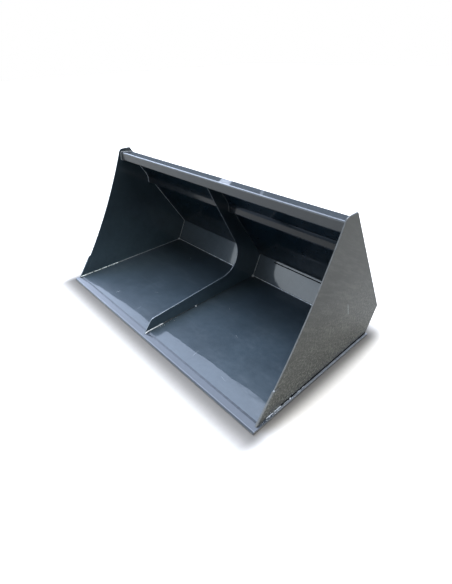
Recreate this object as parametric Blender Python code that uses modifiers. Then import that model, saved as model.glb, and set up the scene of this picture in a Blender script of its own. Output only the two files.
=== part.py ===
"""Skid steer bucket for light material, built as the welded assembly it is.

Flat plates, bars and one tube are cut to outline and welded together: a floor, two sides,
a two-part back, a tubular top rail, a centre rib, a cutting edge with side cutters, skids
underneath and a quick-attach hitch behind.

Profiles are drawn in the (y, z) plane. y runs from the mouth (0 at the front tip of the
side plates) to the back, z is up (0 on top of the floor plate), and x runs along the width.
The root empty lifts and centres the whole so that the origin is at the bottom centre.
"""
from math import atan2, ceil, cos, hypot, pi, radians, sin, tan

import bmesh
import bpy

COLLECTION = "skid_steer_bucket"
ROOT = "bucket_root"

# Overall size
WIDTH = 2.000                 # over the outer faces of the side plates
LEDGE = 0.015                 # cutting edge and side skids stand out past the side plates
FLOOR_BACK = 1.020            # floor plate's inner length, to the foot of the back
HEEL = (1.104, 0.166)         # inner corner where the lower back meets the leaning back
BACK_TOP = (0.660, 0.842)     # inner top corner of the leaning back plate
EAR_TOP = 0.9165              # top of the side plates
EAR_BACK = 0.6465             # their rear upper corner
EAR_FRONT = 0.560             # their front upper corner, before it is rounded
EAR_ROUND = 0.030
EAR_BACK_ROUND = 0.007
FRONT_CURVE = 0.024           # how far the side plates' front edge is hollowed

# Plate and bar thickness
PLATE = 0.006
SIDE = 0.008
RIB = 0.008
BAR = 0.015
STIFFENER = 0.005
HITCH_PLATE = 0.010
GUSSET = 0.010
GAP = 0.0003                  # between pieces that touch
EDGE_ROUND = 0.0012           # broken plate edges
BAR_ROUND = 0.002             # rolled edges of the cutting edge
ARC_STEP = radians(11)        # a rounded corner's segments turn by at most this

# Cutting edge and the pieces under the floor
CUTTING_EDGE_DEPTH = 0.150
CUTTING_EDGE_FRONT = -0.034
CUTTING_EDGE_BEVEL = 0.007
FLOOR_FRONT = 0.023           # the floor plate laps the cutting edge from here back
SKID_WIDTH = 0.070
WEAR_STRIP_X = 0.330

# Side cutters, thicker than the side plates and let into their lower front edge
CUTTER_THICK = 0.012
CUTTER_TIP = (0.000, -PLATE + GAP)
CUTTER_TOP = (0.118, 0.150)
CUTTER_DEPTH = 0.045
CUTTER_LAP = 0.010            # the cutter's head reaches this far in front of the side plate

# Top rail, a rectangular tube tipped slightly back
RAIL_CORNER = (0.5645, 0.8945)
RAIL_DEPTH = 0.100
RAIL_HEIGHT = 0.060
RAIL_WALL = 0.004
RAIL_ROUND = 0.010
RAIL_TIP = radians(6.8)

# Stiffener inside the back, under the rail: it leaves the back plate in a cove and ends in a flange
STIFFENER_FRONT = 0.772
STIFFENER_BOTTOM = 0.6085
STIFFENER_COVE = 0.060
STIFFENER_FEATHER = 0.0012    # thickness left at its ground upper edge
STIFFENER_BEND = 0.012

# Centre rib
RIB_TOE = -0.008
RIB_NOSE = (0.062, 0.079)
RIB_NOSE_ROUND = 0.045
RIB_INNER_CORNER = (0.950, 0.1415)
RIB_INNER_ROUND = 0.165
RIB_INNER_STEP = radians(8)
RIB_HEAD_FRONT = 0.590

# Quick-attach hitch
HITCH_WIDTH = 1.130
HITCH_FRONT = 1.135           # front face of the hitch plates
HITCH_BOTTOM = 0.045
HITCH_TOP = 0.465
HITCH_PANEL_WIDTH = 0.300
INNER_GUSSET_INSET = 0.020    # from the hitch plates' inner edges
LIP_KNEE = 0.005              # the lip turns down this far behind the hitch plates
LIP_REACH = 0.052
LIP_DROP = 0.048
FLANGE_REACH = 0.075
FLANGE_THICK = 0.012
SLOT_X = 0.455
SLOT_LENGTH = 0.076
SLOT_WIDTH = 0.032
INNER_GUSSET_X = HITCH_WIDTH / 2 - HITCH_PANEL_WIDTH + INNER_GUSSET_INSET
BRACE_DEPTH = 0.050

OVERALL_WIDTH = WIDTH + 2 * LEDGE
HALF_INSIDE = WIDTH / 2 - SIDE
GROUND = -PLATE - BAR
REAR = HITCH_FRONT + HITCH_PLATE + FLANGE_REACH

# Paints: colour, roughness, metallic
PAINTS = {
    "dark_paint": ((0.032, 0.043, 0.054), 0.30, 0.0),
    "side_paint": ((0.105, 0.112, 0.108), 0.45, 0.0),
    "edge_paint": ((0.210, 0.260, 0.330), 0.35, 0.0),
    "rail_paint": ((0.130, 0.140, 0.150), 0.35, 0.0),
    "hitch_paint": ((0.040, 0.048, 0.056), 0.40, 0.0),
    "wear_steel": ((0.160, 0.155, 0.150), 0.50, 0.6),
}

# Turns a flat outline drawn in (y, z) so that its thickness lies along x
ACROSS = (pi / 2, 0.0, pi / 2)
LEVEL = (0.0, 0.0, 0.0)


# ---------------------------------------------------------------- outlines
def along(start, end, distance):
    """The point at a distance from start on the line towards end."""
    length = hypot(end[0] - start[0], end[1] - start[1])
    return tuple(a + (b - a) * distance / length for a, b in zip(start, end))


def at_height(start, end, height):
    """Where the line from start to end, or past it, is at a height."""
    share = (height - start[1]) / (end[1] - start[1])
    return (start[0] + (end[0] - start[0]) * share, height)


def offset_line(start, end, distance):
    """A line moved sideways to the right of its direction."""
    length = hypot(end[0] - start[0], end[1] - start[1])
    side = ((end[1] - start[1]) / length, (start[0] - end[0]) / length)
    return [tuple(c + s * distance for c, s in zip(point, side)) for point in (start, end)]


def crossing(first, second):
    """Where two lines, each a pair of points, cross."""
    (ax, ay), (bx, by) = first
    (cx, cy), (dx, dy) = second
    under = (bx - ax) * (dy - cy) - (by - ay) * (dx - cx)
    share = ((cx - ax) * (dy - cy) - (cy - ay) * (dx - cx)) / under
    return (ax + (bx - ax) * share, ay + (by - ay) * share)


def rounded(before, corner, after, radius, step=ARC_STEP):
    """Points of the arc that rounds a corner."""
    heading_in = atan2(corner[1] - before[1], corner[0] - before[0])
    heading_out = atan2(after[1] - corner[1], after[0] - corner[0])
    turn = (heading_out - heading_in + pi) % (2 * pi) - pi
    reach = radius * tan(abs(turn) / 2)
    start = (corner[0] - reach * cos(heading_in), corner[1] - reach * sin(heading_in))
    side = 1 if turn > 0 else -1
    centre = (start[0] - side * radius * sin(heading_in), start[1] + side * radius * cos(heading_in))
    steps = max(2, ceil(abs(turn) / step))
    points = []
    for i in range(steps + 1):
        angle = heading_in + turn * i / steps - side * pi / 2
        points.append((centre[0] + radius * cos(angle), centre[1] + radius * sin(angle)))
    return points


def hollow_edge(start, end, depth, steps=12):
    """Points of the shallow arc that bows to the right of the line from start to end."""
    chord = hypot(end[0] - start[0], end[1] - start[1])
    along_chord = ((end[0] - start[0]) / chord, (end[1] - start[1]) / chord)
    side = (along_chord[1], -along_chord[0])
    radius = chord ** 2 / (8 * depth) + depth / 2
    points = []
    for i in range(steps + 1):
        run = chord * i / steps
        bow = (radius ** 2 - (run - chord / 2) ** 2) ** 0.5 - (radius - depth)
        points.append(tuple(s + run * a + bow * n for s, a, n in zip(start, along_chord, side)))
    return points


# ---------------------------------------------------------------- lines that pieces share
FLOOR_FOOT = (FLOOR_BACK, 0.0)
FLOOR_UNDER = offset_line((0.0, 0.0), FLOOR_FOOT, PLATE)
LOWER_OUTSIDE = offset_line(FLOOR_FOOT, HEEL, PLATE)
BACK_OUTSIDE = offset_line(HEEL, BACK_TOP, PLATE)
FOOT_OUTSIDE = crossing(FLOOR_UNDER, LOWER_OUTSIDE)
HEEL_OUTSIDE = crossing(LOWER_OUTSIDE, BACK_OUTSIDE)


def rail_point(back, down):
    """A point of the tipped rail, counted back and down from its front upper corner."""
    return (RAIL_CORNER[0] + back * cos(RAIL_TIP) - down * sin(RAIL_TIP),
            RAIL_CORNER[1] - back * sin(RAIL_TIP) - down * cos(RAIL_TIP))


# ---------------------------------------------------------------- pieces
def make_paints():
    for name, (colour, roughness, metallic) in PAINTS.items():
        paint = bpy.data.materials.new(name)
        paint.use_nodes = True
        shader = paint.node_tree.nodes["Principled BSDF"]
        shader.inputs["Base Color"].default_value = (*colour, 1.0)
        shader.inputs["Roughness"].default_value = roughness
        shader.inputs["Metallic"].default_value = metallic


def cut_plate(name, outlines, thickness, centre, turn, paint, edge=EDGE_ROUND):
    """A plate cut to closed outlines, the rim first and then its holes, with broken edges."""
    curve = bpy.data.curves.new(name + "_outline", 'CURVE')
    curve.dimensions = '2D'
    curve.fill_mode = 'BOTH'
    curve.extrude = thickness / 2
    for outline in outlines:
        spline = curve.splines.new('POLY')
        spline.points.add(len(outline) - 1)
        for point, (u, v) in zip(spline.points, outline):
            point.co = (u, v, 0.0, 1.0)
        spline.use_cyclic_u = True
    drawn = bpy.data.objects.new(name + "_outline", curve)
    bpy.context.scene.collection.objects.link(drawn)
    bpy.context.view_layer.update()
    mesh = bpy.data.meshes.new_from_object(drawn.evaluated_get(bpy.context.evaluated_depsgraph_get()))
    bpy.data.objects.remove(drawn)

    shape = bmesh.new()
    shape.from_mesh(mesh)
    bmesh.ops.remove_doubles(shape, verts=shape.verts, dist=0.00001)
    bmesh.ops.dissolve_limit(shape, angle_limit=radians(0.5), verts=shape.verts, edges=shape.edges)
    shape.to_mesh(mesh)
    shape.free()
    mesh.name = name

    piece = bpy.data.objects.new(name, mesh)
    bpy.data.collections[COLLECTION].objects.link(piece)
    piece.parent = bpy.data.objects[ROOT]
    piece.location = centre
    piece.rotation_euler = turn
    mesh.materials.clear()
    mesh.materials.append(bpy.data.materials[paint])
    if edge:
        bevel = piece.modifiers.new("broken_edges", 'BEVEL')
        bevel.width = edge
        bevel.segments = 2
        bevel.limit_method = 'ANGLE'
        bevel.angle_limit = radians(40)
    mesh.shade_smooth()
    mesh.set_sharp_from_angle(angle=radians(30))
    return piece


def cross_piece(name, outline, length, paint, x=0.0, holes=(), edge=EDGE_ROUND):
    """A piece whose (y, z) profile runs along x."""
    return cut_plate(name, [outline, *holes], length, (x, 0.0, 0.0), ACROSS, paint, edge)


def shell_plates():
    """Floor, lower back and leaning back, mitred where they are welded."""
    inside_length = 2 * (HALF_INSIDE - GAP)
    floor = [(FLOOR_FRONT, 0.0), (FLOOR_FRONT, -PLATE), along(FOOT_OUTSIDE, (0.0, -PLATE), GAP),
             along(FLOOR_FOOT, (0.0, 0.0), GAP)]
    cross_piece("floor_plate", floor, inside_length, "dark_paint")
    lower = [along(FLOOR_FOOT, HEEL, GAP), along(FOOT_OUTSIDE, HEEL_OUTSIDE, GAP),
             along(HEEL_OUTSIDE, FOOT_OUTSIDE, GAP), along(HEEL, FLOOR_FOOT, GAP)]
    cross_piece("lower_back_plate", lower, inside_length, "dark_paint")
    back = [along(HEEL, BACK_TOP, GAP), along(HEEL_OUTSIDE, BACK_OUTSIDE[1], GAP),
            BACK_OUTSIDE[1], BACK_TOP]
    cross_piece("back_plate", back, inside_length, "dark_paint")


def side_outline():
    """Side plate: notched for the cutter, hollow front edge, rounded ear, straight back edge."""
    notch_foot = (CUTTER_TIP[0] + CUTTER_DEPTH, CUTTER_TIP[1])
    notch_head = (CUTTER_TOP[0] + CUTTER_DEPTH, CUTTER_TOP[1] + GAP)
    edge_foot = (CUTTER_TOP[0] + CUTTER_LAP, CUTTER_TOP[1] + GAP)
    ear_front = (EAR_FRONT, EAR_TOP)
    ear_back = (EAR_BACK, EAR_TOP)
    front = hollow_edge(edge_foot, ear_front, FRONT_CURVE)
    front_corner = rounded(front[-2], ear_front, ear_back, EAR_ROUND)
    below_corner = [point for point in front if point[1] < front_corner[0][1]]
    foot = (FOOT_OUTSIDE[0], CUTTER_TIP[1])
    return [notch_foot, notch_head, *below_corner, *front_corner,
            *rounded(ear_front, ear_back, HEEL_OUTSIDE, EAR_BACK_ROUND), HEEL_OUTSIDE, foot]


def side_pieces():
    """Side plates, their cutters and the skids that stand out under them."""
    cutter_outline = [CUTTER_TIP, CUTTER_TOP, (CUTTER_TOP[0] + CUTTER_DEPTH - GAP, CUTTER_TOP[1]),
                      (CUTTER_TIP[0] + CUTTER_DEPTH - GAP, CUTTER_TIP[1])]
    skid_outline = [(CUTTING_EDGE_FRONT + CUTTING_EDGE_DEPTH + GAP, -PLATE - GAP),
                    (FOOT_OUTSIDE[0], -PLATE - GAP), (FOOT_OUTSIDE[0], GROUND),
                    (CUTTING_EDGE_FRONT + CUTTING_EDGE_DEPTH + GAP, GROUND)]
    for side, hand in (("left", -1), ("right", 1)):
        cross_piece("side_plate_" + side, side_outline(), SIDE, "side_paint",
                    x=hand * (WIDTH / 2 - SIDE / 2))
        cross_piece("side_cutter_" + side, cutter_outline, CUTTER_THICK, "side_paint",
                    x=hand * (HALF_INSIDE + CUTTER_THICK / 2))
        cross_piece("side_skid_" + side, skid_outline, SKID_WIDTH, "edge_paint",
                    x=hand * (OVERALL_WIDTH / 2 - SKID_WIDTH / 2))


def cutting_edge():
    """Flat bar with its upper front edge bevelled, under the floor and the side plates."""
    top = -PLATE - GAP
    front = CUTTING_EDGE_FRONT
    back = front + CUTTING_EDGE_DEPTH
    bar = [(front, GROUND), (front, top - CUTTING_EDGE_BEVEL), (front + CUTTING_EDGE_BEVEL, top),
           (back, top), (back, GROUND)]
    cross_piece("cutting_edge", bar, OVERALL_WIDTH, "edge_paint", edge=BAR_ROUND)


def underside_bars():
    """Wear strips along the floor and the bar across its heel, all as thick as the cutting edge."""
    front = CUTTING_EDGE_FRONT + CUTTING_EDGE_DEPTH + GAP
    heel_front = FLOOR_BACK - SKID_WIDTH
    top = -PLATE - GAP
    strip = [(front, top), (heel_front - GAP, top), (heel_front - GAP, GROUND), (front, GROUND)]
    for side, hand in (("left", -1), ("right", 1)):
        cross_piece("wear_strip_" + side, strip, SKID_WIDTH, "wear_steel", x=hand * WEAR_STRIP_X)
    heel = [(heel_front, top), (FLOOR_BACK, top), (FLOOR_BACK, GROUND), (heel_front, GROUND)]
    cross_piece("heel_bar", heel, OVERALL_WIDTH - 2 * (SKID_WIDTH + GAP), "wear_steel")


def top_rail():
    """Rectangular tube between the ears of the side plates."""
    def ring(inset, radius):
        corners = [(inset, inset), (RAIL_DEPTH - inset, inset),
                   (RAIL_DEPTH - inset, RAIL_HEIGHT - inset), (inset, RAIL_HEIGHT - inset)]
        points = []
        for i, corner in enumerate(corners):
            points += rounded(corners[i - 1], corner, corners[(i + 1) % 4], radius)
        return [rail_point(back, down) for back, down in points]

    cross_piece("top_rail", ring(0.0, RAIL_ROUND), 2 * (HALF_INSIDE - GAP), "rail_paint",
                holes=[ring(RAIL_WALL, RAIL_ROUND - RAIL_WALL)], edge=0.0)


def stiffener_outline(grow=0.0):
    """Outer and inner side of the sheet against the back plate; grow moves its outer side out."""
    back_line = offset_line(HEEL, BACK_TOP, -GAP)
    skin_line = offset_line(HEEL, BACK_TOP, -GAP - STIFFENER_FEATHER - grow)
    front = STIFFENER_FRONT - grow
    bottom = STIFFENER_BOTTOM - grow
    corner = crossing(skin_line, [(front, 0.0), (front, 1.0)])
    cove = rounded(skin_line[1], corner, (front, bottom), STIFFENER_COVE - grow, ARC_STEP / 2)
    tail = at_height(*back_line, bottom)
    bend = rounded(cove[-1], (front, bottom), tail, STIFFENER_BEND + grow)
    inner_front = STIFFENER_FRONT + STIFFENER
    inner_bottom = STIFFENER_BOTTOM + STIFFENER
    inner_head = crossing(back_line, [(inner_front, 0.0), (inner_front, 1.0)])
    inner_tail = at_height(*back_line, inner_bottom)
    inner_bend = rounded(inner_tail, (inner_front, inner_bottom), inner_head,
                         STIFFENER_BEND - STIFFENER)
    return [*cove, *bend, tail], [inner_tail, *inner_bend, inner_head]


def back_stiffener():
    """Sheet that curves off the back plate and closes a long box with it under the rail."""
    outside, inside = stiffener_outline()
    feather_foot = at_height(*offset_line(HEEL, BACK_TOP, -GAP), outside[0][1])
    cross_piece("back_stiffener", [feather_foot, *outside, *inside], 2 * (HALF_INSIDE - GAP),
                "dark_paint", edge=0.0)


def centre_rib():
    """J-shaped rib from the cutting edge along the floor and up the back to the rail."""
    rail_front = rail_point(0.0, RAIL_HEIGHT + GAP)
    rail_back = rail_point(RAIL_DEPTH, RAIL_HEIGHT + GAP)
    back_line = offset_line(HEEL, BACK_TOP, -GAP)
    lower_line = offset_line(FLOOR_FOOT, HEEL, -GAP)
    floor_line = [(0.0, GAP), (FLOOR_BACK, GAP)]
    head_front = along(rail_front, rail_back, RIB_HEAD_FRONT - rail_front[0])
    head_back = crossing(back_line, [rail_front, rail_back])
    toe = (RIB_TOE, -PLATE + GAP)
    around_stiffener = stiffener_outline(GAP)[0]
    outline = [toe]
    outline += rounded(toe, RIB_NOSE, RIB_INNER_CORNER, RIB_NOSE_ROUND)
    outline += rounded(RIB_NOSE, RIB_INNER_CORNER, head_front, RIB_INNER_ROUND, RIB_INNER_STEP)
    outline += [head_front, head_back, *around_stiffener, crossing(back_line, lower_line),
                crossing(lower_line, floor_line), (FLOOR_FRONT - GAP, GAP),
                (FLOOR_FRONT - GAP, toe[1])]
    cross_piece("centre_rib", outline, RIB, "dark_paint")


def hitch():
    """Quick-attach hitch: two plates, hooked lip, slotted flange, gussets and braces."""
    rear = HITCH_FRONT + HITCH_PLATE
    panel_x = HITCH_WIDTH / 2 - HITCH_PANEL_WIDTH / 2
    flange_top = HITCH_BOTTOM + FLANGE_THICK
    panel = [(HITCH_FRONT, flange_top + GAP), (HITCH_FRONT, HITCH_TOP), (rear, HITCH_TOP),
             (rear, flange_top + GAP)]
    gusset = gusset_outline()
    brace = brace_outline()
    for side, hand in (("left", -1), ("right", 1)):
        cross_piece("hitch_plate_" + side, panel, HITCH_PANEL_WIDTH, "hitch_paint", x=hand * panel_x)
        cross_piece("outer_gusset_" + side, gusset, GUSSET, "hitch_paint",
                    x=hand * (HITCH_WIDTH / 2 - GUSSET / 2))
        cross_piece("inner_gusset_" + side, gusset, GUSSET, "hitch_paint", x=hand * INNER_GUSSET_X)
        cross_piece("back_brace_" + side, brace, GUSSET, "hitch_paint", x=hand * INNER_GUSSET_X)

    lip_root = (HITCH_FRONT, HITCH_TOP + GAP)
    lip_knee = (rear + LIP_KNEE, HITCH_TOP + HITCH_PLATE)
    lip_end = (lip_knee[0] + LIP_REACH, lip_knee[1] - LIP_DROP)
    under = offset_line(lip_knee, lip_end, HITCH_PLATE)
    lip = [lip_root, (HITCH_FRONT, lip_knee[1]), lip_knee, lip_end, under[1],
           crossing(under, [lip_root, (rear, lip_root[1])])]
    cross_piece("hitch_lip", lip, HITCH_WIDTH, "hitch_paint")

    half = HITCH_WIDTH / 2
    rim = [(-half, HITCH_FRONT), (half, HITCH_FRONT), (half, REAR), (-half, REAR)]
    slot_y = rear + FLANGE_REACH / 2
    slots = [slot_outline(hand * SLOT_X, slot_y) for hand in (-1, 1)]
    cut_plate("hitch_flange", [rim, *slots], FLANGE_THICK,
              (0.0, 0.0, HITCH_BOTTOM + FLANGE_THICK / 2), LEVEL, "hitch_paint")


def slot_outline(x, y, steps=8):
    """Round-ended slot along x, centred at (x, y)."""
    radius = SLOT_WIDTH / 2
    straight = SLOT_LENGTH / 2 - radius
    points = []
    for centre, start in ((x + straight, -pi / 2), (x - straight, pi / 2)):
        for i in range(steps + 1):
            angle = start + pi * i / steps
            points.append((centre + radius * cos(angle), y + radius * sin(angle)))
    return points


def gusset_outline():
    """Plate between the bucket's back and the hitch plates."""
    lower_line = offset_line(FOOT_OUTSIDE, HEEL_OUTSIDE, GAP)
    back_line = offset_line(HEEL_OUTSIDE, BACK_OUTSIDE[1], GAP)
    foot = at_height(*lower_line, HITCH_BOTTOM)
    head = at_height(*back_line, HITCH_TOP + HITCH_PLATE)
    rear = HITCH_FRONT - GAP
    return [foot, crossing(lower_line, back_line), head, (rear, HITCH_TOP + HITCH_PLATE),
            (rear, HITCH_BOTTOM)]


def brace_outline():
    """Flat bar on edge up the back plate, from the inner gussets to under the rail."""
    near = offset_line(HEEL_OUTSIDE, BACK_OUTSIDE[1], GAP)
    far = offset_line(HEEL_OUTSIDE, BACK_OUTSIDE[1], GAP + BRACE_DEPTH)
    bottom = HITCH_TOP + HITCH_PLATE + GAP
    top = at_height(*near, BACK_TOP[1] - PLATE)
    return [at_height(*near, bottom), top, at_height(*far, top[1] - BRACE_DEPTH),
            at_height(*far, bottom)]


# ---------------------------------------------------------------- assembly
def main():
    for old in list(bpy.data.objects):
        bpy.data.objects.remove(old, do_unlink=True)
    collection = bpy.data.collections.new(COLLECTION)
    bpy.context.scene.collection.children.link(collection)
    root = bpy.data.objects.new(ROOT, None)
    collection.objects.link(root)
    root.location = (0.0, -(CUTTING_EDGE_FRONT + REAR) / 2, -GROUND)

    make_paints()
    shell_plates()
    side_pieces()
    cutting_edge()
    underside_bars()
    top_rail()
    back_stiffener()
    centre_rib()
    hitch()
    bpy.context.view_layer.update()


main()
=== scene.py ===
"""The looks of the welded skid steer bucket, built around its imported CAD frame.

The CAD solids carry every plate, bar and tube. This script paints them with procedural gloss
paint, lays the weld beads along their joints, and adds the floor, the light and the camera.
Places come from the frame: y runs from the cutting edge to the hitch, z is up.
"""
import random
from math import cos, pi, radians, sin

import bmesh
import bpy
from mathutils import Euler, Matrix, Vector
from mathutils.geometry import convex_hull_2d


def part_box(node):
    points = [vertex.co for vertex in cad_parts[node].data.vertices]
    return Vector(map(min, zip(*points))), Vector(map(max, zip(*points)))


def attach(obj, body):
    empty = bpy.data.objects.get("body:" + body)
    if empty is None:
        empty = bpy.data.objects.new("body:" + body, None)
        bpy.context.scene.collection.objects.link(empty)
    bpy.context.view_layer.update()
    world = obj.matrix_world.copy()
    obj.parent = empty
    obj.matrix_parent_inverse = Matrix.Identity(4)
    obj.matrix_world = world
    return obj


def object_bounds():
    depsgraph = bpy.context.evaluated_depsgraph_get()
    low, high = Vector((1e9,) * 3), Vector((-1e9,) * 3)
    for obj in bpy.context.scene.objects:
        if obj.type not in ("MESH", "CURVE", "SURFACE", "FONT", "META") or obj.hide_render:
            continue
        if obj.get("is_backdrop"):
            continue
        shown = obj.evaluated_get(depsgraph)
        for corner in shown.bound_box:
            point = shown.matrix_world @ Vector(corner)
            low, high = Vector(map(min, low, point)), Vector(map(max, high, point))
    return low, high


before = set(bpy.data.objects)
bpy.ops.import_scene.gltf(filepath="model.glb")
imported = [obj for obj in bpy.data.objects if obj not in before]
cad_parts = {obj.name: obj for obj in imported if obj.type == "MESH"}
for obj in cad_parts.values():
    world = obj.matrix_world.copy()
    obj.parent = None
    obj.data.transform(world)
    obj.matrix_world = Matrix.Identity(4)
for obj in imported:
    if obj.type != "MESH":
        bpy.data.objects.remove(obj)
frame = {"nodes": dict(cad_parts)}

BODY = "root"

# Camera: where it stands, how it is turned, and its lens and sensor in mm
CAMERA_PLACE = (1.759, -1.434, 1.569)
CAMERA_AZIMUTH = radians(48.33)
CAMERA_ELEVATION = radians(33.70)
CAMERA_ROLL = radians(-1.92)
CAMERA_LENS = 22.63
CAMERA_SENSOR = 36.0

# Light, as radiance
SKY_BRIGHT = (2.45, 2.85, 3.65)     # high up, on the side that SKY_SIDE points to
SKY_LOW = (0.13, 0.17, 0.22)        # under the bright part
SKY_FRONT = (0.40, 0.41, 0.40)      # away from SKY_SIDE
SKY_TOP = (8.4, 8.3, 8.0)           # overhead
SKY_SIDE = (-0.76, 0.65, 0.0)       # behind the bucket's left side
SKY_STRIP = (7.5, 8.6, 11.0)        # a long light over the left
GLOW = (2.45, 2.7, 2.9)             # low down in front, on the left
GLOW_SIDE = (-0.62, -0.77, 0.12)

# The stage: how much it reflects, how white it looks, and the soft shade round the bucket's foot
STAGE_SIZE = 60.0
STAGE_ALBEDO = (0.35, 0.34, 0.315)
STAGE_WHITE = (0.93, 0.90, 0.86)
SHADE_DEPTH = 0.84
SHADE_REACH = (0.085, 0.165)        # across and along
SHADE_SHORT = 0.220                 # the shade's rear stops this far short of the hitch

# Paint: the pale or dark matter on it, a painted edge highlight, and the flecks of a painted gravel
# reflection
DUST = (0.16, 0.155, 0.135)
# painted highlight for the faces that look up, forward or back
EDGE_HIGHLIGHT = (0.20, 0.22, 0.25)
# pale and dark flecks of a painted reflection of gravel ground; the pale one also colours slanted
# streaks
FLECK_PALE = (0.34, 0.355, 0.315)
FLECK_DARK = (0.004, 0.005, 0.004)
SMEAR = (0.10, 0.125, 0.155)
PATCH_PALE = (0.42, 0.44, 0.49)
SCRATCHED = (0.45, 0.49, 0.53)

# The floor's droop over the cutting edge: from and to x, and how far back it starts at each
DROOP_LEFT = (-0.98, -0.30, 0.010, 0.058)
DROOP_RIGHT = (0.10, 0.95, 0.032, 0.066)
DROOP_SLOPE = 0.030
DROOP_SLOPE_RIGHT = 0.058

# Welds
BEAD = 0.0042                       # a usual bead's radius
BEAD_SIDES = 8
WELD_STEP = 0.0040                  # between the rings of a smooth bead
RIPPLE = 0.006                      # from one ripple to the next on a rippled bead
RIPPLE_RINGS = 4
CAP_WIDTH = 0.014                   # the heel's weld, ground flat
CAP_RISE = 0.0025
CAP_LOW = 0.002                     # its foot is this far below its width
# the bead that paints the shadow line under the heel's weld, and where that line starts
SHADOW_LINE_BEAD = 0.0046
SHADOW_LINE_START = 0.15                   # the painted shadow line begins this share of the way across the bay
LAP_REACH = 0.009                   # the lap weld's width on the cutting edge
LEDGE_WELD = 0.335                  # length of the broken weld on each ledge
RIB_WELD = 0.148                    # length of the bright weld at the rib's toe
SIDE_WELD = 0.34                    # length of the bright weld along the floor's left side


# ---------------------------------------------------------------- node helpers
class Graph:
    """A material's or the world's node tree, with short calls to add and join nodes."""

    def __init__(self, tree):
        self.tree = tree
        tree.nodes.clear()

    def add(self, kind, inputs=None, **settings):
        node = self.tree.nodes.new(kind)
        for key, value in settings.items():
            setattr(node, key, value)
        for key, value in (inputs or {}).items():
            self.feed(node, key, value)
        return node

    def feed(self, node, key, value):
        socket = node.inputs[key]
        if isinstance(value, bpy.types.NodeSocket):
            self.tree.links.new(value, socket)
        elif socket.type == 'RGBA' and len(value) == 3:
            socket.default_value = (*value, 1.0)
        else:
            socket.default_value = value

    def math(self, operation, first, second=0.0):
        return self.add("ShaderNodeMath", {0: first, 1: second}, operation=operation).outputs[0]

    def times(self, first, *others):
        for other in others:
            first = self.math('MULTIPLY', first, other)
        return first

    def plus(self, first, *others):
        for other in others:
            first = self.math('ADD', first, other)
        return first

    def spread(self, value, low, high, to_low=0.0, to_high=1.0):
        """Maps low..high to to_low..to_high, clamped."""
        node = self.add("ShaderNodeMapRange", {"Value": value, "From Min": low, "From Max": high,
                                               "To Min": to_low, "To Max": to_high})
        return node.outputs["Result"]

    def swing(self, noise, low, high):
        """Spreads the middle of a noise over low..high."""
        return self.spread(noise, 0.3, 0.7, low, high)

    def band(self, value, start, end, edge):
        """1 between start and end, with a soft edge inside each."""
        return self.times(self.spread(value, start, start + edge), self.spread(value, end, end - edge))

    def mix(self, share, first, second):
        node = self.add("ShaderNodeMix", data_type='RGBA')
        self.feed(node, "Factor", share)
        self.feed(node, 6, first)
        self.feed(node, 7, second)
        return node.outputs[2]

    def scaled(self, vector, factor):
        node = self.add("ShaderNodeVectorMath", {0: vector, "Scale": factor}, operation='SCALE')
        return node.outputs[0]

    def moved(self, vector, turn=(0.0, 0.0, 0.0), size=(1.0, 1.0, 1.0)):
        node = self.add("ShaderNodeMapping", {"Vector": vector, "Rotation": turn, "Scale": size})
        return node.outputs[0]

    def dot(self, vector, direction):
        node = self.add("ShaderNodeVectorMath", {0: vector, 1: direction}, operation='DOT_PRODUCT')
        return node.outputs["Value"]

    def parts(self, vector):
        node = self.add("ShaderNodeSeparateXYZ", {0: vector})
        return node.outputs["X"], node.outputs["Y"], node.outputs["Z"]

    def noise(self, place, scale, detail=2.0, roughness=0.5, distortion=0.0):
        node = self.add("ShaderNodeTexNoise", {"Vector": place, "Scale": scale, "Detail": detail,
                                               "Roughness": roughness, "Distortion": distortion})
        return node.outputs["Fac"]


# ---------------------------------------------------------------- materials
def new_material(name):
    material = bpy.data.materials.new(name)
    material.use_nodes = True
    return material, Graph(material.node_tree)


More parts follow.
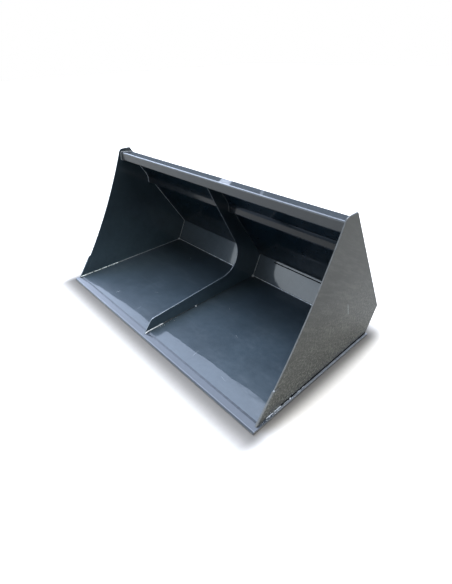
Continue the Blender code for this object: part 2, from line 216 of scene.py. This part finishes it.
def paint(name, colour, roughness=0.40, level=0.5, coat=1.0, coat_roughness=0.05, wave=1.0,
          peel=1.0, dust=0.2, gravel_reflection=0.0, edge_highlight=0.0, floor_reflection=0.0, smears=0.0, droop=None,
          scratches=(), pale_patch=None):
    """Sprayed gloss paint over plate.

    wave is the plate's slow waviness and peel the paint's orange peel. dust is a thin film,
    gravel_reflection is a painted reflection of gravel ground in pale and dark flecks, with slanted
    pale streaks, on the face that looks to +x, and edge_highlight is a painted highlight: how much
    paler the faces are that look up, forward or back. floor_reflection is a painted reflection of
    the floor: how much paler the paint is near the ground, and smears are pale marks that something
    dragged across left. droop gives the height of a bent part, scratches are (centre, turn, length,
    width, strength), and pale_patch gives the mask of a pale patch.
    """
    material, graph = new_material(name)
    source = graph.add("ShaderNodeTexCoord")
    place = source.outputs["Object"]
    facing_x, _, facing_z = graph.parts(source.outputs["Normal"])
    cloud = graph.noise(place, 2.3, 4.0, 0.6)
    mottle = graph.noise(place, 31.0, 3.0, 0.6)
    shade = graph.times(graph.swing(cloud, 0.84, 1.16), graph.swing(mottle, 0.94, 1.06))
    base = graph.scaled(colour, shade)

    # painted reflection of the floor: the paint is made paler near the ground
    if floor_reflection:
        base = graph.scaled(base, graph.spread(graph.parts(place)[2], 0.50, 0.03, 1.0, 1.0 + floor_reflection))
    film = graph.times(graph.spread(cloud, 0.40, 0.75), graph.spread(mottle, 0.35, 0.7), dust)
    base = graph.mix(graph.times(film, 0.12), base, DUST)
    rough = graph.plus(graph.swing(mottle, roughness * 0.9, roughness * 1.1), graph.times(film, 0.1))
    if smears:
        dragged = graph.noise(graph.moved(place, size=(1.5, 7.0, 1.0)), 1.8, 4.0, 0.65, 0.3)
        patchy = graph.spread(mottle, 0.3, 0.6, 0.5, 1.0)
        smear = graph.times(graph.spread(dragged, 0.50, 0.72), patchy, smears)
        base = graph.mix(smear, base, SMEAR)
    lumps = 0.0
    # painted reflection of gravel ground, as flecks on the face that looks to +x
    if gravel_reflection:
        outward = graph.spread(facing_x, 0.2, 0.8)
        base, rough, lumps = add_gravel_reflection(graph, place, base, rough, graph.times(outward, gravel_reflection))
    # painted highlight: the faces that look up, forward or back are made paler
    if edge_highlight:
        rim = graph.spread(graph.math('ABSOLUTE', facing_x), 0.80, 0.25)
        patchy = graph.spread(mottle, 0.25, 0.6, 0.45, 1.0)
        base = graph.mix(graph.times(rim, patchy, edge_highlight), base, EDGE_HIGHLIGHT)
    if pale_patch:
        upward = graph.spread(facing_z, 0.90, 0.99)
        patchy = graph.spread(mottle, 0.35, 0.55, 0.55, 1.0)
        base = graph.mix(graph.times(pale_patch(graph, place), upward, patchy), base, PATCH_PALE)
    for scratch in scratches:
        base = graph.mix(scratch_mask(graph, place, *scratch), base, SCRATCHED)

    height = graph.times(graph.noise(place, 1.6, 1.0, 0.4), 0.007 * wave)
    if droop:
        height = graph.plus(height, droop(graph, place))
    plate = graph.add("ShaderNodeBump", {"Height": height, "Strength": 1.0, "Distance": 1.0})
    grain = graph.plus(graph.noise(place, 240.0, 2.0, 0.5), graph.times(3.0, lumps))
    skin = graph.add("ShaderNodeBump", {"Height": grain, "Strength": 0.35,
                                        "Distance": 0.00016 * peel, "Normal": plate.outputs[0]})
    shader = graph.add("ShaderNodeBsdfPrincipled", {
        "Base Color": base, "Roughness": rough, "IOR": 1.5, "Specular IOR Level": level,
        "Normal": skin.outputs[0], "Coat Weight": coat, "Coat Roughness": coat_roughness,
        "Coat IOR": 1.5, "Coat Normal": skin.outputs[0]})
    graph.add("ShaderNodeOutputMaterial", {"Surface": shader.outputs[0]})
    return material


def add_gravel_reflection(graph, place, base, rough, amount):
    """Pale and dark flecks, a painted reflection of gravel ground, denser low down; and slanted pale
    streaks.
    """
    low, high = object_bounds()
    _, along, up = graph.parts(place)
    lower = graph.spread(up, high.z * 0.60, low.z)
    rear = graph.spread(along, low.y, high.y)
    share = graph.plus(graph.times(lower, 0.90), graph.times(lower, rear, -0.12), 0.03)
    patchy = graph.swing(graph.noise(place, 9.0, 2.0), 0.55, 1.2)
    speck = graph.spread(graph.noise(place, 70.0, 6.0, 0.8), 0.49, 0.60)
    speck = graph.times(speck, share, patchy, amount)
    dark_fleck = graph.spread(graph.noise(place, 60.0, 3.0, 0.7, 0.4), 0.50, 0.62)
    dark_fleck = graph.times(dark_fleck, share, amount)
    turned = graph.moved(place, turn=(radians(32), 0.0, 0.0))
    streak = graph.noise(graph.moved(turned, size=(1.0, 4.0, 32.0)), 1.5, 3.0, 0.65)
    below_top = graph.spread(up, high.z, high.z * 0.55, 0.25, 1.0)
    streaked = graph.times(graph.spread(streak, 0.45, 0.70), below_top)
    base = graph.mix(graph.times(streaked, 0.11, amount), base, FLECK_PALE)
    base = graph.mix(graph.times(dark_fleck, 0.55), base, FLECK_DARK)
    base = graph.mix(graph.times(speck, 0.72), base, FLECK_PALE)
    return base, graph.plus(rough, graph.times(speck, 0.2)), speck


def scratch_mask(graph, place, centre, turn, length, width, strength):
    """1 on a short straight scratch that fades at its ends."""
    local = graph.add("ShaderNodeVectorMath", {0: place, 1: centre}, operation='SUBTRACT')
    local = graph.add("ShaderNodeVectorRotate", {"Vector": local.outputs[0], "Rotation": turn},
                      rotation_type='EULER_XYZ')
    along, across, off = (graph.math('ABSOLUTE', value) for value in graph.parts(local.outputs[0]))
    body = graph.spread(along, length / 2, length / 3)
    thin = graph.spread(across, width, width * 0.4)
    near = graph.spread(off, 0.006, 0.004)
    worn = graph.spread(graph.noise(place, 130.0, 2.0), 0.35, 0.5, 0.35, 1.0)
    return graph.times(body, thin, near, worn, strength)


def weld_paint(name, colour, roughness, metallic=0.0, coat=0.0, level=0.5):
    """Weld metal, bare or under thin paint, blotchy and finely pitted."""
    material, graph = new_material(name)
    place = graph.add("ShaderNodeTexCoord").outputs["Object"]
    patch = graph.noise(place, 55.0, 3.0, 0.6)
    fine = graph.noise(place, 420.0, 2.0, 0.6)
    base = graph.scaled(colour, graph.swing(patch, 0.55, 1.35))
    rough = graph.swing(fine, roughness * 0.8, roughness * 1.25)
    bump = graph.add("ShaderNodeBump", {"Height": fine, "Strength": 0.6, "Distance": 0.0005})
    shader = graph.add("ShaderNodeBsdfPrincipled", {
        "Base Color": base, "Roughness": rough, "Metallic": metallic, "Specular IOR Level": level,
        "Normal": bump.outputs[0], "Coat Weight": coat, "Coat Roughness": 0.12})
    graph.add("ShaderNodeOutputMaterial", {"Surface": shader.outputs[0]})
    return material


def dress(piece, material):
    piece.data.materials.clear()
    piece.data.materials.append(material)


# ---------------------------------------------------------------- stage, light and camera
def stage():
    """Plain white floor, with a soft grey shade round the bucket's foot.

    The paint sees a greyer floor than the camera does.
    """
    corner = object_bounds()[1]
    bpy.ops.mesh.primitive_plane_add(size=STAGE_SIZE, location=(0.0, 0.0, -0.0005))
    floor = bpy.context.active_object
    floor.name = "stage_floor"
    material, graph = new_material("stage_floor")
    place = graph.add("ShaderNodeTexCoord").outputs["Object"]
    across, along, _ = graph.parts(place)
    along = graph.plus(along, SHADE_SHORT / 2)
    halves = (corner.x, corner.y - SHADE_SHORT / 2)
    squares = 0.0
    for value, half, reach in zip((across, along), halves, SHADE_REACH):
        outside = graph.math('SUBTRACT', graph.math('ABSOLUTE', value), half)
        outside = graph.math('DIVIDE', graph.math('MAXIMUM', outside, 0.0), reach)
        squares = graph.plus(graph.times(outside, outside), squares)
    near = graph.math('EXPONENT', graph.times(squares, -1.0))
    grain = graph.spread(graph.noise(place, 30.0, 4.0), 0.2, 0.8, 0.97, 1.03)
    tone = graph.times(graph.math('SUBTRACT', 1.0, graph.times(near, SHADE_DEPTH)), grain)
    seen = graph.add("ShaderNodeLightPath").outputs["Is Camera Ray"]
    colour = graph.mix(seen, STAGE_ALBEDO, graph.scaled(STAGE_WHITE, tone))
    shader = graph.add("ShaderNodeBsdfDiffuse", {"Color": colour})
    graph.add("ShaderNodeOutputMaterial", {"Surface": shader.outputs[0]})
    dress(floor, material)
    floor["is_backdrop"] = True


def sky():
    """White backdrop for the camera; for the paint, a soft sky over a darker horizon.

    The strip draws the bright line along the rail's rounding, and the glow is what the lower
    back plate mirrors.
    """
    world = bpy.data.worlds.new("studio")
    bpy.context.scene.world = world
    world.use_nodes = True
    graph = Graph(world.node_tree)
    ray = graph.add("ShaderNodeTexCoord").outputs["Generated"]
    across, along, height = graph.parts(ray)
    towards = graph.spread(graph.dot(ray, SKY_SIDE), -0.20, 0.25)
    low = graph.mix(towards, SKY_FRONT, SKY_LOW)
    bright = graph.times(graph.spread(height, 0.37, 0.46), towards)
    colour = graph.mix(bright, low, SKY_BRIGHT)
    overhead = graph.spread(height, 0.88, 0.97)
    colour = graph.mix(overhead, colour, SKY_TOP)
    strip = graph.times(graph.spread(graph.math('ABSOLUTE', along), 0.20, 0.14),
                        graph.spread(across, -0.28, -0.34), graph.spread(height, 0.44, 0.50))
    colour = graph.mix(strip, colour, SKY_STRIP)
    glow = graph.spread(graph.dot(ray, Vector(GLOW_SIDE).normalized()), 0.86, 0.97)
    glow = graph.times(glow, graph.spread(height, 0.36, 0.26))
    colour = graph.mix(glow, colour, GLOW)
    seen = graph.add("ShaderNodeLightPath").outputs["Is Camera Ray"]
    colour = graph.mix(seen, colour, (1.0, 1.0, 1.0))
    light = graph.add("ShaderNodeBackground", {"Color": colour, "Strength": 1.0})
    graph.add("ShaderNodeOutputWorld", {"Surface": light.outputs[0]})


def camera():
    eye = bpy.data.cameras.new("photo_view")
    eye.lens = CAMERA_LENS
    eye.sensor_width = CAMERA_SENSOR
    eye.clip_start = 0.05
    eye.clip_end = 200.0
    seat = bpy.data.objects.new("photo_view", eye)
    bpy.context.scene.collection.objects.link(seat)
    turn = Euler((pi / 2 - CAMERA_ELEVATION, 0.0, CAMERA_AZIMUTH)).to_matrix()
    turn = turn @ Matrix.Rotation(CAMERA_ROLL, 3, 'Z')
    seat.matrix_world = Matrix.Translation(CAMERA_PLACE) @ turn.to_4x4()
    bpy.context.scene.camera = seat


# ---------------------------------------------------------------- paint on the frame
def front_droop(graph, place):
    """The floor's front, pulled down a little where the cutting edge is welded under it."""
    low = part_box("floor_plate")[0]
    across, along, _ = graph.parts(place)
    right = graph.spread(across, -0.004, 0.004)
    bend = graph.plus(graph.spread(across, *DROOP_LEFT),
                      graph.times(right, graph.spread(across, *DROOP_RIGHT)))
    ragged = graph.swing(graph.noise(place, 7.0, 3.0, 0.6), -0.007, 0.007)
    before = graph.math('SUBTRACT', graph.plus(bend, ragged, low.y), along)
    slope = graph.plus(DROOP_SLOPE, graph.times(right, DROOP_SLOPE_RIGHT - DROOP_SLOPE))
    return graph.times(graph.math('MAXIMUM', before, 0.0), slope, -1.0)


def rail_pale_patch(graph, place):
    """A pale patch that runs askew across the rail's top, and a faint one beside it."""
    low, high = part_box("top_rail")
    across, along, _ = graph.parts(place)
    askew = graph.plus(across, graph.spread(along, low.y, high.y, 0.0, 0.08))
    wide = graph.band(askew, 0.148, 0.244, 0.008)
    narrow = graph.band(askew, 0.474, 0.500, 0.006)
    return graph.plus(graph.times(wide, 0.80), graph.times(narrow, 0.25))


def floor_scratches():
    low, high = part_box("floor_plate")

    def scratch(x, back, degrees, length, width=0.0010, strength=0.40):
        centre = (x, low.y + back, high.z)
        return centre, (0.0, 0.0, radians(degrees)), length, width, strength

    return [scratch(-0.57, 0.095, 100, 0.036, 0.0016, 0.8), scratch(-0.27, 0.098, 85, 0.045),
            scratch(0.388, 0.092, 82, 0.060), scratch(0.66, 0.073, 8, 0.050, 0.0008, 0.3),
            scratch(-0.59, 0.820, 60, 0.040, 0.0016, 0.8), scratch(0.45, 0.38, 20, 0.03),
            scratch(-0.35, 0.30, 150, 0.035), scratch(0.20, 0.55, 35, 0.025)]


def side_scratches():
    """One long scratch on the right plate's outside, nearly upright."""
    low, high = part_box("side_plate_right")
    centre = (high.x, low.y + 0.681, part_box("floor_plate")[1].z + 0.331)
    upright = Matrix.Rotation(radians(90), 3, 'Y') @ Matrix.Rotation(radians(-16.5), 3, 'X')
    return [(centre, upright.to_euler(), 0.100, 0.0021, 1.0)]


def paint_frame(nodes):
    """Paints every CAD node, and returns the paints that the ground welds share."""
    floor = paint("floor_paint", (0.030, 0.047, 0.065), 0.38, level=0.33, coat_roughness=0.11,
                  smears=0.15, droop=front_droop, scratches=floor_scratches())
    # The back and its stiffener get darker copies of the one paint: painted shade under the rail.
    dark = paint("back_paint", (0.002, 0.007, 0.013), 0.30, level=0.1, wave=0.08)
    stiffener = paint("stiffener_paint", (0.006, 0.010, 0.015), 0.30, level=0.1, coat=0.85,
                      coat_roughness=0.14, wave=0.0, dust=0.1)
    # The lower back plate's copy of the paint is lighter: painted light.
    strip = paint("strip_paint", (0.072, 0.098, 0.128), 0.35, level=0.3)
    # The rib's copy of the paint is darker: painted shade.
    rib = paint("rib_paint", (0.012, 0.020, 0.028), 0.45, level=0.2, edge_highlight=0.55, floor_reflection=3.4)
    # The right side's outer paint is a lighter, greener copy: a painted reflection of the ground.
    side = paint("side_paint", (0.068, 0.070, 0.066), 0.50, level=0.12, coat=0.5,
                 coat_roughness=0.09, peel=2.0, dust=0.3, gravel_reflection=1.0, edge_highlight=0.30,
                 scratches=side_scratches())
    far_side = paint("far_side_paint", (0.023, 0.037, 0.049), 0.50, level=0.2, edge_highlight=0.5,
                     floor_reflection=1.6)
    edge = paint("edge_paint", (0.022, 0.032, 0.048), 0.40, coat_roughness=0.08)
    rail = paint("rail_paint", (0.015, 0.019, 0.023), 0.40, level=0.32, wave=0.5, pale_patch=rail_pale_patch)
    ledge = paint("ledge_paint", (0.009, 0.012, 0.021), 0.40, level=0.2, edge_highlight=0.85)
    hitch = paint("hitch_paint", (0.012, 0.016, 0.020), 0.40, peel=1.5, dust=0.6)
    finishes = {
        "floor_plate": floor, "back_plate": dark, "back_stiffener": stiffener,
        "lower_back_plate": strip, "centre_rib": rib, "cutting_edge": edge, "top_rail": rail,
        "side_plate_right": side, "side_cutter_right": side, "side_skid_right": ledge,
        "side_plate_left": far_side, "side_cutter_left": far_side, "side_skid_left": ledge}
    for name, node in nodes.items():
        dress(node, finishes.get(name, hitch))
    return edge, strip


# ---------------------------------------------------------------- welds
def sweep(name, path, radius, finish, ripple=0.0, seed=1):
    """A bead along a path: rings of slightly uneven size, smaller at the ends."""
    draw = random.Random(seed)
    step = RIPPLE / RIPPLE_RINGS if ripple else WELD_STEP
    points = even_steps([Vector(p) for p in path], step)
    shape = bmesh.new()
    rings = []
    last = len(points) - 1
    side = None
    for i, point in enumerate(points):
        heading = (points[min(i + 1, last)] - points[max(i - 1, 0)]).normalized()
        if side is None:
            side = heading.orthogonal().normalized()
        side = (side - heading * side.dot(heading)).normalized()
        other = heading.cross(side)
        taper = min(1.0, 0.45 + 0.3 * min(i, last - i))
        wave = 1.0 + ripple * sin(2 * pi * i / RIPPLE_RINGS) + draw.uniform(-0.10, 0.10)
        size = radius * taper * wave
        turns = [2 * pi * k / BEAD_SIDES for k in range(BEAD_SIDES)]
        rings.append([shape.verts.new(point + (side * cos(turn) + other * sin(turn)) * size)
                      for turn in turns])
    loft(shape, rings)
    return finish_piece(name, shape, finish)


def loft(shape, rings):
    """Joins closed rings into one solid with flat ends."""
    for near, far in zip(rings, rings[1:]):
        for k in range(len(near)):
            after = (k + 1) % len(near)
            shape.faces.new((near[k], near[after], far[after], far[k]))
    shape.faces.new(list(reversed(rings[0])))
    shape.faces.new(rings[-1])
    bmesh.ops.recalc_face_normals(shape, faces=shape.faces)


def even_steps(corners, step):
    """Points along a polyline, about a step apart."""
    points = [corners[0]]
    for start, end in zip(corners, corners[1:]):
        count = max(1, round((end - start).length / step))
        points += [start.lerp(end, i / count) for i in range(1, count + 1)]
    return points


def finish_piece(name, shape, finish, smooth=True):
    mesh = bpy.data.meshes.new(name)
    shape.to_mesh(mesh)
    shape.free()
    if smooth:
        mesh.shade_smooth()
    piece = bpy.data.objects.new(name, mesh)
    bpy.context.scene.collection.objects.link(piece)
    dress(piece, finish)
    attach(piece, BODY)
    return piece


class Lines:
    """The lines that the welds follow, read off the CAD nodes."""

    def __init__(self, nodes):
        self.nodes = nodes
        floor_low, floor_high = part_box("floor_plate")
        self.floor = floor_high.z
        self.inside = floor_high.x
        self.floor_front = floor_low.y
        self.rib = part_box("centre_rib")[1].x
        self.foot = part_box("lower_back_plate")[0].y
        self.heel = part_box("back_plate")[0].z
        self.under_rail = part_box("top_rail")[0].z

    def front_face(self, node, x, z):
        """How far back the node's mouth-side face is at that place."""
        return self.meet(node, x, z, -2.0, 1.0)

    def rear_face(self, node, x, z):
        return self.meet(node, x, z, 2.0, -1.0)

    def meet(self, node, x, z, start, heading):
        hit, place, _, _ = self.nodes[node].ray_cast((x, start, z), (0.0, heading, 0.0))
        if not hit:
            raise ValueError(f"no face of {node} at x {x:.3f}, z {z:.3f}")
        return place.y

    def inner_back(self, x, off):
        """The line up the inside of the back at x: foot, heel, stiffener, and on to the rail."""
        stiffener_low, stiffener_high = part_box("back_stiffener")
        probe = max(-self.inside + 0.002, min(self.inside - 0.002, x))
        line = [(self.foot, self.floor)]
        line.append((self.front_face("back_plate", probe, self.heel + 0.002), self.heel))
        below = stiffener_low.z - 0.004
        line.append((self.front_face("back_plate", probe, below), below))
        rise = stiffener_high.z - stiffener_low.z
        for share in (0.06, 0.15, 0.3, 0.5, 0.65, 0.8, 0.93):
            z = stiffener_low.z + rise * share
            line.append((self.front_face("back_stiffener", probe, z), z))
        for z in (stiffener_high.z + 0.01, self.under_rail - 0.002):
            line.append((self.front_face("back_plate", probe, z), z))
        return [Vector((x, y - off, z + off * 0.3)) for y, z in line]


def inner_welds(lines, finishes):
    """Welds seen from the mouth: along the floor, the sides, the back and the rib."""
    painted, pale, bright = finishes["painted"], finishes["pale"], finishes["bright"]
    off = BEAD * 0.35
    up = lines.floor + off
    wall = lines.inside - off
    rib_side = lines.rib + off
    tip = lines.floor_front - 0.012
    foot = lines.foot - off
    bright_end = tip + SIDE_WELD
    broken("weld_floor_side_left_front", (-wall, tip, up), (-wall, bright_end, up), BEAD,
           finishes["fresh"], 0.12, 2)
    sweep("weld_floor_side_left", [(-wall, bright_end, up), (-wall, foot, up)], BEAD * 0.8, pale,
          seed=3)
    sweep("weld_floor_side_right", [(wall, tip, up), (wall, foot, up)], BEAD * 0.8, pale, seed=4)

    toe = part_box("centre_rib")[0].y
    bright_end = toe + RIB_WELD
    rib_toe = [(rib_side, toe + 0.004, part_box("cutting_edge")[1].z + off),
               (rib_side, tip + 0.010, up), (rib_side, bright_end, up)]
    sweep("weld_rib_toe", rib_toe, BEAD * 1.05, bright, 0.12, seed=5)
    sweep("weld_rib_foot_right", [(rib_side, bright_end, up), (rib_side, foot, up)], BEAD * 0.7,
          painted, seed=6)
    sweep("weld_rib_foot_left", [(-rib_side, toe + 0.02, up), (-rib_side, foot, up)], BEAD * 0.9,
          painted, seed=7)
    lump("weld_spot_rib", (rib_side + 0.003, toe + 0.430, up), BEAD * 1.3, bright, seed=12)

    heel_y = lines.front_face("back_plate", lines.inside / 2, lines.heel + 0.002)
    bays = (("left", -wall, -rib_side), ("right", rib_side, wall))
    for side, start, end in bays:
        # These foot welds are painted over; their bright finish is a painted highlight.
        sweep("weld_foot_" + side, [(start, foot, up), (end, foot, up)], BEAD * 0.75, bright, seed=8)
        heel_cap("weld_heel_cap_" + side, lines, start, end, heel_y, finishes["cap"])
    # A near-black bead paints the shadow line under the heel's ground weld, from partway across the
    # right bay.
    shadow_start = rib_side + (wall - rib_side) * SHADOW_LINE_START
    heel_shadow_line("weld_heel_shadow_line_right", lines, shadow_start, wall, heel_y, finishes["dark"])
    for name, x, finish in (("side_left", -wall, pale), ("side_right", wall, painted),
                            ("rib_left", -rib_side, painted), ("rib_right", rib_side, painted)):
        line = lines.inner_back(x, off)
        sweep("weld_strip_" + name, line[:2], BEAD * 0.8, pale, seed=10)
        sweep("weld_back_" + name, line[1:], BEAD * 0.62, finish, seed=11)
    for x, name in ((-wall + 0.005, "left"), (rib_side + 0.006, "right")):
        lump("weld_end_foot_" + name, (x, foot - 0.007, up + 0.003), BEAD * 2.9, bright, seed=13)

    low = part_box("back_stiffener")[0].z
    behind = lines.front_face("back_plate", lines.inside / 2, low - 0.004) - off
    for side, start, end in bays:
        sweep("weld_stiffener_" + side, [(start, behind, low), (end, behind, low)], BEAD, painted,
              seed=14)


def heel_slope(lines, heel_y):
    """The heel's inner corner, and the directions up the lower back plate and out of it."""
    foot = Vector((lines.foot, lines.floor))
    heel = Vector((heel_y, lines.heel))
    along = (heel - foot).normalized()
    return heel, along, Vector((-along.y, along.x))


def heel_cap(name, lines, start, end, heel_y, finish):
    """The heel's weld, ground flat along the top of the lower back plate."""
    heel, along, out = heel_slope(lines, heel_y)
    root = heel - along * (CAP_WIDTH + CAP_LOW)
    corners = [root, root + out * CAP_RISE, heel + out * CAP_RISE, heel]
    shape = bmesh.new()
    loft(shape, [[shape.verts.new((x, *corner)) for corner in corners] for x in (start, end)])
    finish_piece(name, shape, finish, smooth=False)


def heel_shadow_line(name, lines, start, end, heel_y, finish):
    """A near-black bead along the foot of the heel's ground weld: a painted shadow line for the gap
    there.
    """
    heel, along, out = heel_slope(lines, heel_y)
    place = heel - along * (CAP_WIDTH + CAP_LOW) + out * 0.0010
    sweep(name, [(x, *place) for x in (start, end)], SHADOW_LINE_BEAD, finish, seed=9)


def seam_welds(lines, finishes):
    """The floor's lap over the cutting edge, the rail's ends, and the side plates on their ledges.

    A near-black bead along each side plate's foot is partly weld, partly painted shade.
    """
    dark, pale, bright = finishes["dark"], finishes["pale"], finishes["bright"]
    edge_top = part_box("cutting_edge")[1].z
    reach = lines.inside - 0.001
    lap_weld("weld_lap", -reach, reach, lines.floor_front, lines.floor, lines.floor - edge_top,
             finishes["lap"])

    outline = end_outline(lines.nodes["top_rail"])
    middle = sum(outline, Vector((0.0, 0.0))) / len(outline)
    ring = [point + (point - middle).normalized() * BEAD * 0.3 for point in outline]
    side_low, side_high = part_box("side_plate_right")
    for side, hand in (("left", -1), ("right", 1)):
        x = hand * (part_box("top_rail")[1].x - BEAD * 0.3)
        sweep("weld_rail_" + side, [(x, y, z) for y, z in ring + ring[:1]], BEAD * 0.7, pale, 0.20,
              seed=21)
        outer = hand * (side_high.x + BEAD * 0.45)
        ledge = edge_top + BEAD * 0.3
        broken("weld_ledge_" + side, (outer, side_low.y + 0.028, ledge),
               (outer, side_low.y + LEDGE_WELD, ledge), BEAD * 0.65, bright, 0.55, 22)
        lump("weld_ledge_dot_" + side, (outer + hand * 0.003, side_low.y + 0.212, ledge + 0.002),
             BEAD * 1.2, bright, seed=25)
        # A near-black bead along the plate's foot over the ledge: partly a weld, partly painted shade
        # where plate and ledge meet.
        inset = hand * (side_high.x - BEAD * 0.2)
        shade = edge_top + BEAD * 0.9
        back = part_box("side_skid_" + side)[1].y - 0.004
        sweep("weld_ledge_painted_shadow_" + side, [(inset, side_low.y + 0.137, shade), (inset, back, shade)],
              BEAD * 1.1, dark, seed=26)
        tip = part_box("side_cutter_" + side)[1]
        lump("weld_cutter_head_" + side,
             (hand * (lines.inside + 0.006), tip.y - 0.036, tip.z + 0.001), BEAD * 0.9, pale, seed=23)
    spatter(lines, bright)


def broken(name, start, end, radius, finish, gaps, seed):
    """A straight bead whose bright metal shows only in stretches. gaps is the share left out."""
    draw = random.Random(seed)
    start, end = Vector(start), Vector(end)
    length = (end - start).length
    reached = 0.0
    count = 0
    while reached < length - 0.012:
        run = min(draw.uniform(0.012, 0.050), length - reached)
        ends = [start.lerp(end, (reached + share) / length) for share in (0.0, run)]
        count += 1
        size = radius * draw.uniform(0.75, 1.1)
        sweep(f"{name}_{count}", ends, size, finish, 0.15, seed=seed + count)
        reached += run + draw.uniform(0.2, 1.8) * run * gaps / (1.0 - gaps)


def spatter(lines, finish):
    """Beads of weld spatter stuck to the ledges, the side plates' feet and the rib's foot."""
    draw = random.Random(31)
    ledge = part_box("cutting_edge")[1].z
    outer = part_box("side_plate_right")[1].x
    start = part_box("side_plate_right")[0].y
    places = []
    for hand in (-1, 1):
        for _ in range(40):
            y = start + draw.uniform(-0.02, LEDGE_WELD)
            places.append((hand * (outer + draw.uniform(0.003, 0.012)), y, ledge))
        for _ in range(10):
            y = start + draw.uniform(0.03, LEDGE_WELD)
            places.append((hand * outer, y, ledge + draw.uniform(0.004, 0.03)))
    for _ in range(12):
        x = lines.rib + draw.uniform(0.003, 0.03)
        places.append((x, start + draw.uniform(0.04, 0.2), lines.floor))
    shape = bmesh.new()
    for place in places:
        drop = Matrix.Translation(place) @ Matrix.Diagonal((1.0, 1.0, 0.7, 1.0))
        radius = draw.uniform(0.0008, 0.0020)
        bmesh.ops.create_icosphere(shape, subdivisions=1, radius=radius, matrix=drop)
    finish_piece("weld_spatter", shape, finish)


def lap_weld(name, start, end, y, top, drop, finish):
    """A ground weld that eases the step down from the floor plate to the cutting edge."""
    draw = random.Random(24)
    count = round((end - start) / 0.010)
    shape = bmesh.new()
    rings = []
    for i in range(count + 1):
        x = start + (end - start) * i / count
        reach = LAP_REACH + draw.uniform(-0.0010, 0.0010)
        profile = [(0.0004, 0.0002), (-reach, -drop * 0.98), (0.0004, -drop * 0.98)]
        rings.append([shape.verts.new((x, y + back, top + rise)) for back, rise in profile])
    loft(shape, rings)
    return finish_piece(name, shape, finish, smooth=False)


def end_outline(node):
    """The outer (y, z) outline of a long node's end."""
    edge = max(vert.co.x for vert in node.data.vertices) - 0.001
    points = [Vector((vert.co.y, vert.co.z)) for vert in node.data.vertices if vert.co.x > edge]
    return [points[i] for i in convex_hull_2d(points)]


def rear_welds(lines, painted):
    """Welds behind: the back's seams, and the hitch on its gussets and braces."""
    off = BEAD * 0.3
    hitch_low, hitch_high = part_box("hitch_plate_right")
    front = hitch_low.y - off
    reach = lines.inside - off
    seam = lines.rear_face("back_plate", 0.0, lines.heel + 0.004) + off
    sweep("weld_heel_outside", [(-reach, seam, lines.heel), (reach, seam, lines.heel)], BEAD,
          painted, seed=41)

    def behind(node, x, heights):
        return [(x, lines.rear_face(node, x, z) + off, z) for z in heights]

    for name in ("outer_gusset_left", "inner_gusset_left", "inner_gusset_right",
                 "outer_gusset_right"):
        low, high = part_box(name)
        for side, x in (("a", low.x - off), ("b", high.x + off)):
            line = behind("lower_back_plate", x, (low.z + 0.004, lines.heel * 0.6, lines.heel - 0.004))
            line += behind("back_plate", x,
                           (lines.heel + 0.006, (lines.heel + high.z) / 2, high.z - 0.002))
            sweep("weld_" + name + "_" + side, line, BEAD, painted, seed=42)
            if abs(x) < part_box("hitch_lip")[1].x:
                line = [(x, front, low.z + 0.004), (x, front, high.z - 0.004)]
                sweep("weld_" + name + "_plate_" + side, line, BEAD, painted, seed=43)
    for name in ("back_brace_left", "back_brace_right"):
        low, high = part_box(name)
        for side, x in (("a", low.x - off), ("b", high.x + off)):
            line = behind("back_plate", x, (low.z + 0.004, high.z - 0.006))
            sweep("weld_" + name + "_" + side, line, BEAD * 0.9, painted, seed=44)
    for side, start, end in (("left", -hitch_high.x, -hitch_low.x),
                             ("right", hitch_low.x, hitch_high.x)):
        for name, z in (("flange", hitch_low.z), ("lip", hitch_high.z)):
            sweep("weld_" + name + "_" + side, [(start + 0.004, front, z), (end - 0.004, front, z)],
                  BEAD, painted, seed=45)


def lump(name, place, radius, finish, seed):
    """A blob at the end of a bead."""
    draw = random.Random(seed)
    shape = bmesh.new()
    bmesh.ops.create_icosphere(shape, subdivisions=2, radius=radius)
    for vert in shape.verts:
        vert.co = vert.co * draw.uniform(0.88, 1.12) + Vector(place)
    return finish_piece(name, shape, finish)


def main():
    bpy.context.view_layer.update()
    bpy.context.scene.view_settings.view_transform = 'Standard'
    camera()
    stage()
    sky()
    edge_paint, strip_paint = paint_frame(frame["nodes"])
    finishes = {
        # the lower back plate's lighter copy of the paint, painted light
        "cap": strip_paint,
        "lap": edge_paint,
        "painted": weld_paint("weld_painted", (0.030, 0.040, 0.050), 0.30, coat=0.8),
        # painted weld made pale: a painted highlight along the joints
        "pale": weld_paint("weld_pale", (0.34, 0.38, 0.43), 0.35, coat=0.6),
        "bright": weld_paint("weld_bright", (0.70, 0.76, 0.83), 0.38, metallic=0.30, coat=0.2),
        "fresh": weld_paint("weld_fresh", (0.84, 0.95, 1.0), 0.40, coat=0.4),
        # near-black and without shine: painted shadow lines at the heel and the side plates' feet
        "dark": weld_paint("weld_dark", (0.005, 0.007, 0.010), 0.60, level=0.0)}
    lines = Lines(frame["nodes"])
    inner_welds(lines, finishes)
    seam_welds(lines, finishes)
    rear_welds(lines, finishes["painted"])


main()
